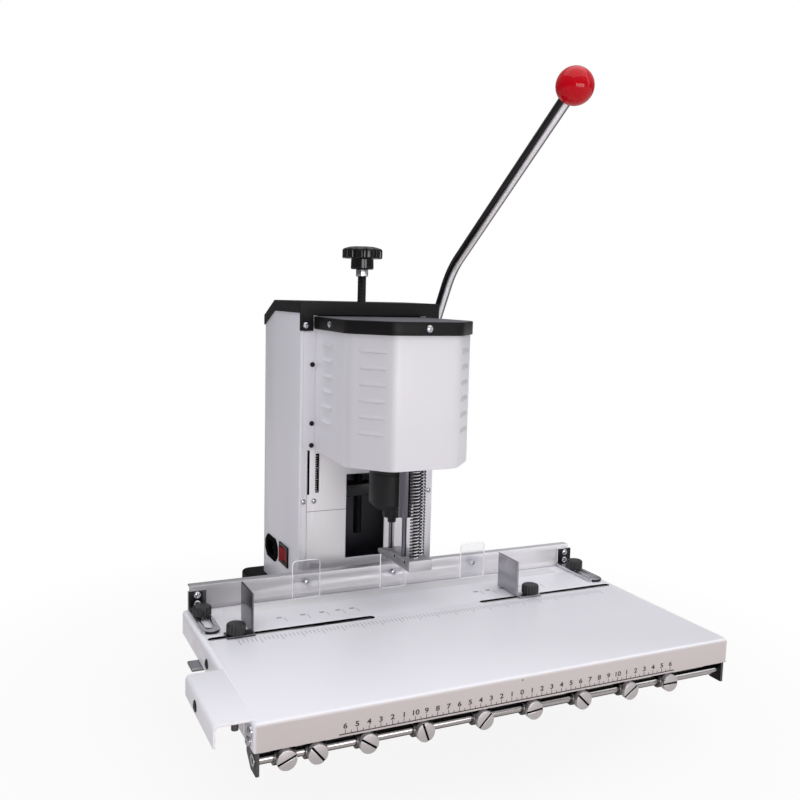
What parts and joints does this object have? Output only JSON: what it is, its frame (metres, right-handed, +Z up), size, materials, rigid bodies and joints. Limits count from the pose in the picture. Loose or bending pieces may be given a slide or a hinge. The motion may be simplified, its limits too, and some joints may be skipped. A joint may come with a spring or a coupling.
{
  "type": "electric paper drill",
  "caption": "Bench paper drill: sliding table with ruler and stop rail, polished back fence, sprung presser foot, hollow bit, white tower and head, hand lever with ball grip.",
  "frame": {"origin": "point on the drilling pad, level with the table top, where the drill axis meets it", "axes": "+Z up along the drill axis, front towards -Y, +X to the operator's right"},
  "size_m": [0.4925, 0.4615, 0.6223],
  "materials": {
    "white_paint": "satin powder coat",
    "black_paint": "satin black",
    "rubber": "matte",
    "grey_steel": "machined",
    "chrome": "bright",
    "cast_frame": "painted casting",
    "bronze": "machined",
    "black_plastic": "satin",
    "screw_steel": "bright",
    "red_plastic": "gloss",
    "white_plastic": "matte",
    "polished_steel": "polished",
    "clear_plastic": "clear",
    "cast_alloy": "cast",
    "spring_steel": "drawn wire",
    "motor_paint": "satin black",
    "black_steel": "blackened",
    "aluminium": "milled"
  },
  "bodies": {
    "frame": {"base_box": "black_paint", "rubber_feet": "rubber", "table_carrier": "grey_steel", "tower_shell": "white_paint", "front_panel": "white_paint", "rear_cover": "white_paint", "top_cover": "black_paint", "head_cover": "white_paint", "head_cap": "black_paint", "guide_columns": "chrome", "inner_frame": "cast_frame", "shaft_bushes": "bronze", "power_inlet": "black_plastic", "switch_bezel": "black_plastic", "cover_screws": "screw_steel"},
    "index": {"index_pin": "grey_steel"},
    "rocker": {"switch_rocker": "red_plastic"},
    "table": {"table_top": "white_paint", "table_handle": "white_paint", "slide_bars": "chrome", "stop_rail": "chrome", "rail_plates": "grey_steel", "table_screws": "screw_steel", "drill_pad": "white_plastic"},
    "sliding_stop_1": {"stop_1": "chrome"},
    "sliding_stop_2": {"stop_2": "chrome"},
    "sliding_stop_3": {"stop_3": "chrome"},
    "sliding_stop_4": {"stop_4": "chrome"},
    "sliding_stop_5": {"stop_5": "chrome"},
    "sliding_stop_6": {"stop_6": "chrome"},
    "sliding_stop_7": {"stop_7": "chrome"},
    "sliding_stop_8": {"stop_8": "chrome"},
    "sliding_stop_9": {"stop_9": "chrome"},
    "left_guide": {"side_guide_left": "polished_steel"},
    "right_guide": {"side_guide_right": "polished_steel"},
    "left_guide_knob": {"guide_knob_left": "black_plastic"},
    "right_guide_knob": {"guide_knob_right": "black_plastic"},
    "fence_unit": {"fence": "polished_steel", "fence_brackets": "polished_steel", "fence_screws": "screw_steel", "clear_stops": "clear_plastic"},
    "left_fence_knob": {"fence_knob_left": "black_plastic"},
    "right_fence_knob": {"fence_knob_right": "black_plastic"},
    "carriage_unit": {"carriage": "cast_alloy", "rack": "grey_steel", "return_spring": "spring_steel", "motor_body": "motor_paint", "presser_tube": "chrome", "presser_springs": "spring_steel"},
    "spindle_unit": {"spindle": "black_steel", "drill_bit": "grey_steel"},
    "presser": {"presser_foot": "aluminium", "presser_rods": "chrome"},
    "lever": {"pinion_shaft": "grey_steel", "lever_rod": "chrome", "lever_ball": "red_plastic"},
    "depth_unit": {"depth_screw": "black_steel", "depth_knob": "black_plastic"},
    "depth_stop": {"depth_nut": "grey_steel"}
  },
  "joints": [
    {"name": "table_slide", "type": "slide", "parent": "frame", "child": "table", "axis": [1, 0, 0], "range_m": [-0.1285, 0.1015]},
    {"name": "index_slide", "type": "slide", "parent": "frame", "child": "index", "axis": [0, -1, 0], "range_m": [0, 0.0045]},
    {"name": "switch_rock", "type": "hinge", "parent": "frame", "child": "rocker", "pos_m": [-0.0735, 0.116, 0.016], "axis": [0, 0, 1], "range_deg": [-16, 0]},
    {"name": "stop_1_slide", "type": "slide", "parent": "table", "child": "sliding_stop_1", "axis": [1, 0, 0], "range_m": [-0.008, 0.003]},
    {"name": "stop_2_slide", "type": "slide", "parent": "table", "child": "sliding_stop_2", "axis": [1, 0, 0], "range_m": [-0.003, 0.008]},
    {"name": "stop_3_slide", "type": "slide", "parent": "table", "child": "sliding_stop_3", "axis": [1, 0, 0], "range_m": [-0.008, 0.008]},
    {"name": "stop_4_slide", "type": "slide", "parent": "table", "child": "sliding_stop_4", "axis": [1, 0, 0], "range_m": [-0.008, 0.008]},
    {"name": "stop_5_slide", "type": "slide", "parent": "table", "child": "sliding_stop_5", "axis": [1, 0, 0], "range_m": [-0.008, 0.008]},
    {"name": "stop_6_slide", "type": "slide", "parent": "table", "child": "sliding_stop_6", "axis": [1, 0, 0], "range_m": [-0.008, 0.008]},
    {"name": "stop_7_slide", "type": "slide", "parent": "table", "child": "sliding_stop_7", "axis": [1, 0, 0], "range_m": [-0.008, 0.008]},
    {"name": "stop_8_slide", "type": "slide", "parent": "table", "child": "sliding_stop_8", "axis": [1, 0, 0], "range_m": [-0.008, 0.008]},
    {"name": "stop_9_slide", "type": "slide", "parent": "table", "child": "sliding_stop_9", "axis": [1, 0, 0], "range_m": [-0.008, 0.008]},
    {"name": "left_guide_slide", "type": "slide", "parent": "table", "child": "left_guide", "axis": [1, 0, 0], "range_m": [-0.01, 0.1]},
    {"name": "right_guide_slide", "type": "slide", "parent": "table", "child": "right_guide", "axis": [1, 0, 0], "range_m": [-0.05, 0.085]},
    {"name": "left_guide_knob_turn", "type": "hinge", "parent": "left_guide", "child": "left_guide_knob", "pos_m": [-0.1855, -0.066, 0.008], "axis": [0, 0, 1], "range_deg": [0, 360]},
    {"name": "right_guide_knob_turn", "type": "hinge", "parent": "right_guide", "child": "right_guide_knob", "pos_m": [0.1345, -0.066, 0.008], "axis": [0, 0, 1], "range_deg": [0, 360]},
    {"name": "fence_slide", "type": "slide", "parent": "table", "child": "fence_unit", "axis": [0, 1, 0], "range_m": [0, 0.03]},
    {"name": "left_fence_knob_turn", "type": "hinge", "parent": "table", "child": "left_fence_knob", "pos_m": [-0.2045, -0.011, 0.008], "axis": [0, 0, 1], "range_deg": [0, 360]},
    {"name": "right_fence_knob_turn", "type": "hinge", "parent": "table", "child": "right_fence_knob", "pos_m": [0.2315, -0.011, 0.008], "axis": [0, 0, 1], "range_deg": [0, 360]},
    {"name": "lever_turn", "type": "hinge", "parent": "frame", "child": "lever", "pos_m": [0, 0.131, 0.23], "axis": [1, 0, 0], "range_deg": [0, 69.7], "stiffness_Nm_per_rad": 2.5, "springref_deg": -91.67},
    {"name": "carriage_slide", "type": "slide", "parent": "frame", "child": "carriage_unit", "axis": [0, 0, -1], "range_m": [0, 0.042], "deforming": ["return_spring"]},
    {"name": "spindle_turn", "type": "hinge", "parent": "carriage_unit", "child": "spindle_unit", "pos_m": [0, 0, 0.1], "axis": [0, 0, 1], "continuous": true},
    {"name": "presser_slide", "type": "slide", "parent": "carriage_unit", "child": "presser", "axis": [0, 0, 1], "range_m": [0, 0.024], "stiffness_N_per_m": 400, "springref_m": -0.02, "deforming": ["presser_springs"]},
    {"name": "depth_turn", "type": "hinge", "parent": "frame", "child": "depth_unit", "pos_m": [0, 0.096, 0.3], "axis": [0, 0, 1], "range_deg": [0, 1460]},
    {"name": "depth_stop_slide", "type": "slide", "parent": "frame", "child": "depth_stop", "axis": [0, 0, -1], "range_m": [0, 0.006]}
  ],
  "couplings": [
    {"joint": "carriage_slide", "follows": "lever_turn", "m_per_rad": 0.0345},
    {"joint": "depth_turn", "follows": "depth_stop_slide", "rad_per_m": 4188.8}
  ]
}
